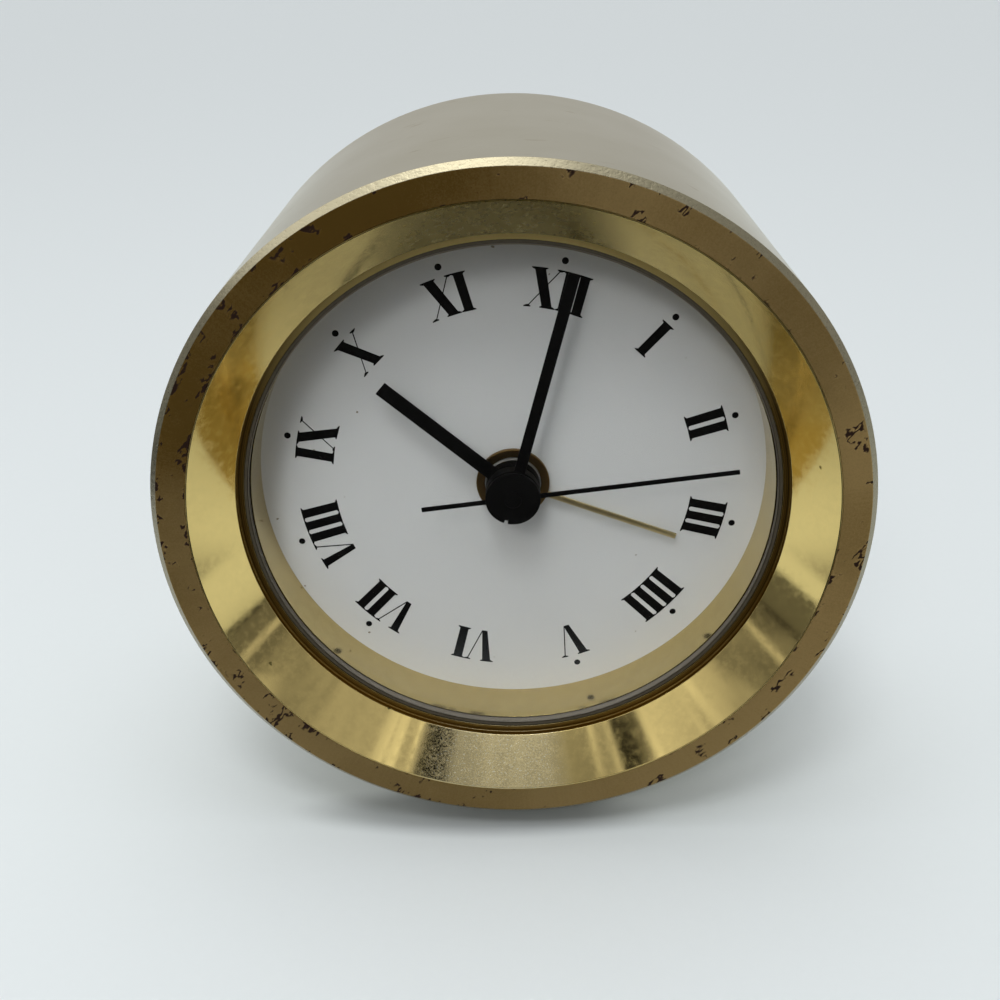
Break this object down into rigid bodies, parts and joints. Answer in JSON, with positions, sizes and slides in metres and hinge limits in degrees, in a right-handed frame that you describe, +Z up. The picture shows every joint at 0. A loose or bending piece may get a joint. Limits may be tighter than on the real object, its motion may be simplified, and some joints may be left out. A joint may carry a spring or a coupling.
{
  "type": "desk clock",
  "caption": "Round desk clock: a turned brass drum on rubber feet with a glazed Roman dial, hour, minute, second and alarm hands, and a quartz alarm insert set from the back.",
  "frame": {"origin": "on the surface that the feet stand on, under the middle of the case", "axes": "+Z up, the dial faces -Y, +X to the right of someone who reads the dial"},
  "size_m": [0.076, 0.0446, 0.0783],
  "materials": {
    "case_brass": "satin turned and lacquered, worn",
    "bezel_brass": "polished",
    "crystal_glass": "clear, flat",
    "gasket_nylon": "moulded",
    "dial_ring_gold": "satin gold",
    "dial_white": "matt white print ground",
    "hand_black": "satin black",
    "alarm_hand_gold": "satin gold",
    "black_plastic": "fine moulded grain",
    "grey_plastic": "moulded",
    "wheel_white": "moulded acetal",
    "wheel_brass": "stamped",
    "steel": "machined",
    "contact_nickel": "nickel plated spring",
    "magnet_dark": "sintered",
    "coil_copper": "enamelled wire",
    "board_brown": "laminate",
    "battery_wrap": "plain wrap",
    "foot_rubber": "matt rubber"
  },
  "bodies": {
    "clock": {"case_body": "case_brass", "bezel": "bezel_brass", "crystal": "crystal_glass", "crystal_gasket": "gasket_nylon", "dial_ring": "dial_ring_gold", "dial": "dial_white", "insert_housing": "black_plastic", "retaining_ring": "foot_rubber", "rear_cover": "black_plastic", "rear_cover_screws": "steel", "battery": "battery_wrap", "battery_contact_positive": "contact_nickel", "battery_contact_negative": "contact_nickel", "middle_plate": "grey_plastic", "rear_plate": "grey_plastic", "plate_screws": "steel", "stator": "steel", "coil_core": "steel", "coil": "coil_copper", "alarm_contact_spring": "contact_nickel", "circuit_board": "board_brown", "quartz_can": "steel", "circuit_chip": "black_plastic", "sounder": "black_plastic", "foot_front_left": "foot_rubber", "foot_front_right": "foot_rubber", "foot_rear_left": "foot_rubber", "foot_rear_right": "foot_rubber"},
    "second_hand": {"second_hand": "hand_black", "second_wheel": "wheel_white"},
    "minute_hand": {"minute_hand": "hand_black", "cannon_pinion": "wheel_brass"},
    "hour_hand": {"hour_hand": "hand_black", "hour_wheel": "wheel_white"},
    "alarm_hand": {"alarm_hand": "alarm_hand_gold", "alarm_wheel": "wheel_white"},
    "minute_wheel": {"minute_wheel": "wheel_white"},
    "centre_wheel": {"centre_wheel": "wheel_brass"},
    "third_wheel": {"third_wheel": "wheel_white"},
    "intermediate_wheel": {"intermediate_wheel": "wheel_white"},
    "rotor": {"rotor_magnet": "magnet_dark", "rotor_pinion": "steel"},
    "time_knob": {"time_set_stem": "wheel_white", "time_set_knob": "black_plastic"},
    "alarm_knob": {"alarm_set_stem": "wheel_white", "alarm_set_knob": "black_plastic"},
    "alarm_switch": {"alarm_switch": "grey_plastic"},
    "battery_door": {"battery_door": "black_plastic"}
  },
  "joints": [
    {"name": "second_hand_turn", "type": "hinge", "parent": "clock", "child": "second_hand", "pos_m": [0, -0.00225, 0.0403], "axis": [0, 1, 0], "continuous": true},
    {"name": "rotor_turn", "type": "hinge", "parent": "clock", "child": "rotor", "pos_m": [-0.00004, -0.00225, 0.05545], "axis": [0, 1, 0], "continuous": true},
    {"name": "intermediate_wheel_turn", "type": "hinge", "parent": "clock", "child": "intermediate_wheel", "pos_m": [-0.00148, -0.00225, 0.04867], "axis": [0, 1, 0], "continuous": true},
    {"name": "third_wheel_turn", "type": "hinge", "parent": "clock", "child": "third_wheel", "pos_m": [0.00672, -0.00225, 0.04483], "axis": [0, 1, 0], "continuous": true},
    {"name": "centre_wheel_turn", "type": "hinge", "parent": "clock", "child": "centre_wheel", "pos_m": [0, -0.00225, 0.0403], "axis": [0, 1, 0], "continuous": true},
    {"name": "minute_hand_turn", "type": "hinge", "parent": "clock", "child": "minute_hand", "pos_m": [0, -0.00225, 0.0403], "axis": [0, 1, 0], "continuous": true},
    {"name": "minute_wheel_turn", "type": "hinge", "parent": "clock", "child": "minute_wheel", "pos_m": [-0.00693, -0.00225, 0.0443], "axis": [0, 1, 0], "continuous": true},
    {"name": "hour_hand_turn", "type": "hinge", "parent": "clock", "child": "hour_hand", "pos_m": [0, -0.00225, 0.0403], "axis": [0, 1, 0], "continuous": true},
    {"name": "time_knob_turn", "type": "hinge", "parent": "clock", "child": "time_knob", "pos_m": [-0.01329, -0.00225, 0.03794], "axis": [0, 1, 0], "continuous": true},
    {"name": "alarm_hand_turn", "type": "hinge", "parent": "clock", "child": "alarm_hand", "pos_m": [0, -0.00225, 0.0403], "axis": [0, 1, 0], "continuous": true},
    {"name": "alarm_knob_turn", "type": "hinge", "parent": "clock", "child": "alarm_knob", "pos_m": [0.00777, -0.00225, 0.03617], "axis": [0, 1, 0], "continuous": true},
    {"name": "alarm_switch_slide", "type": "slide", "parent": "clock", "child": "alarm_switch", "axis": [1, 0, 0], "range_m": [0, 0.003]},
    {"name": "battery_door_pull", "type": "slide", "parent": "clock", "child": "battery_door", "axis": [0, 1, 0], "range_m": [0, 0.014]}
  ],
  "couplings": [
    {"joint": "rotor_turn", "follows": "second_hand_turn", "ratio": 30},
    {"joint": "intermediate_wheel_turn", "follows": "second_hand_turn", "ratio": -5},
    {"joint": "third_wheel_turn", "follows": "second_hand_turn", "ratio": -0.13333},
    {"joint": "centre_wheel_turn", "follows": "second_hand_turn", "ratio": 0.016667},
    {"joint": "hour_hand_turn", "follows": "minute_hand_turn", "ratio": 0.083333},
    {"joint": "minute_wheel_turn", "follows": "minute_hand_turn", "ratio": -0.33333},
    {"joint": "time_knob_turn", "follows": "minute_hand_turn", "ratio": 0.66667},
    {"joint": "alarm_knob_turn", "follows": "alarm_hand_turn", "ratio": -3}
  ]
}
